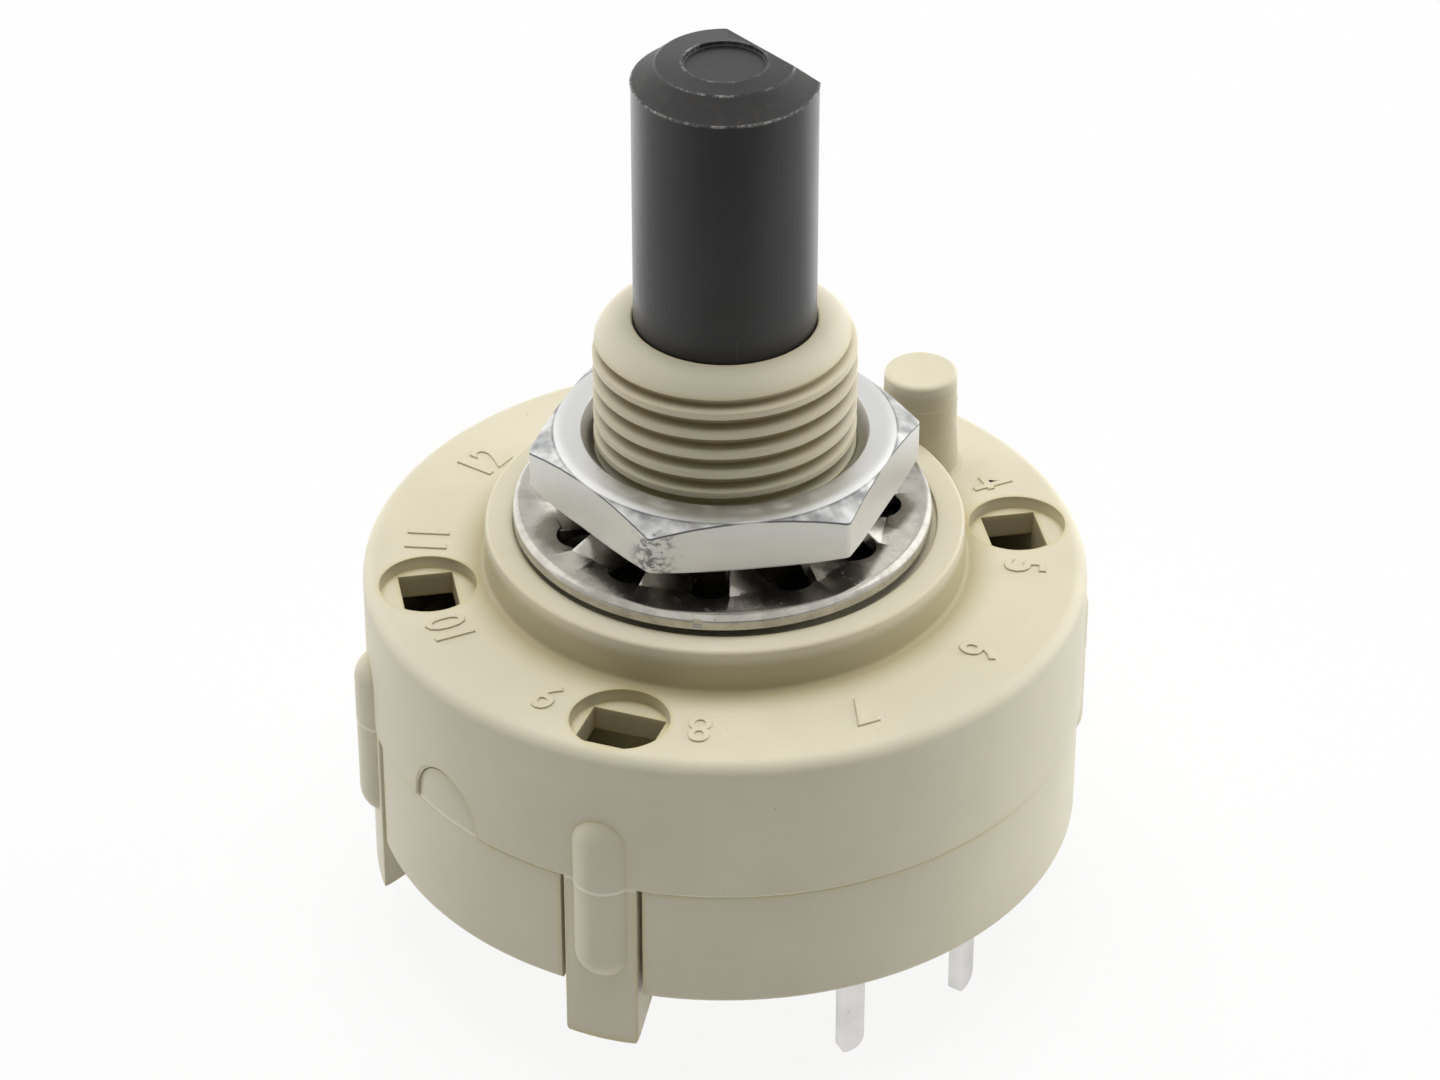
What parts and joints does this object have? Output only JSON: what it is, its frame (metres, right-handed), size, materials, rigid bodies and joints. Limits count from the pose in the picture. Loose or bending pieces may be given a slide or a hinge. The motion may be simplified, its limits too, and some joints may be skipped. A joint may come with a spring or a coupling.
{
  "type": "rotary switch",
  "caption": "Rotary selector switch in a round beige snap-together housing, with a black D-flat spindle, threaded bush, nut, lock washer, stop washer and solder pins underneath.",
  "frame": {"origin": "on the spindle's axis, on the flat face of the boss that seats against the panel", "axes": "+Z along the spindle, towards its free end; +Y towards the locating spigot; +X completes a right-handed frame"},
  "size_m": [0.0258, 0.0258, 0.0347],
  "materials": {
    "beige_plastic": "satin moulded thermoplastic, beige",
    "black_plastic": "satin moulded thermoplastic, near black",
    "zinc_plated_steel": "bright zinc plating, satin",
    "nickel_plated_steel": "bright nickel plating",
    "blackened_steel": "blackened spring steel",
    "spring_steel": "drawn spring wire",
    "ball_steel": "ground and polished",
    "contact_bronze": "stamped contact bronze",
    "silvered_brass": "silver plated brass, pale satin"
  },
  "bodies": {
    "housing": {"front_housing": "beige_plastic", "terminal_base": "beige_plastic", "hex_nut": "zinc_plated_steel", "lock_washer": "nickel_plated_steel", "stop_washer": "blackened_steel", "outer_terminal_1": "silvered_brass", "outer_terminal_2": "silvered_brass", "outer_terminal_3": "silvered_brass", "outer_terminal_4": "silvered_brass", "outer_terminal_5": "silvered_brass", "outer_terminal_6": "silvered_brass", "common_terminal_a": "silvered_brass", "common_terminal_b": "silvered_brass"},
    "rotor": {"spindle": "black_plastic", "detent_spring": "spring_steel", "wiper_a": "contact_bronze", "wiper_b": "contact_bronze", "wiper_spring_a": "spring_steel", "wiper_spring_b": "spring_steel"},
    "ball_a": {"detent_ball_a": "ball_steel"},
    "ball_b": {"detent_ball_b": "ball_steel"}
  },
  "joints": [
    {"name": "spindle_turn", "type": "hinge", "parent": "housing", "child": "rotor", "pos_m": [0, 0, 0], "axis": [0, 0, 1], "range_deg": [-60, 0]},
    {"name": "detent_ball_a_slide", "type": "slide", "parent": "rotor", "child": "ball_a", "axis": [-0.7071, 0.7071, 0], "range_m": [0, 0.0003]},
    {"name": "detent_ball_b_slide", "type": "slide", "parent": "rotor", "child": "ball_b", "axis": [0.7071, -0.7071, 0], "range_m": [0, 0.0003]}
  ],
  "couplings": [
    {"joint": "detent_ball_b_slide", "follows": "detent_ball_a_slide", "ratio": 1}
  ]
}
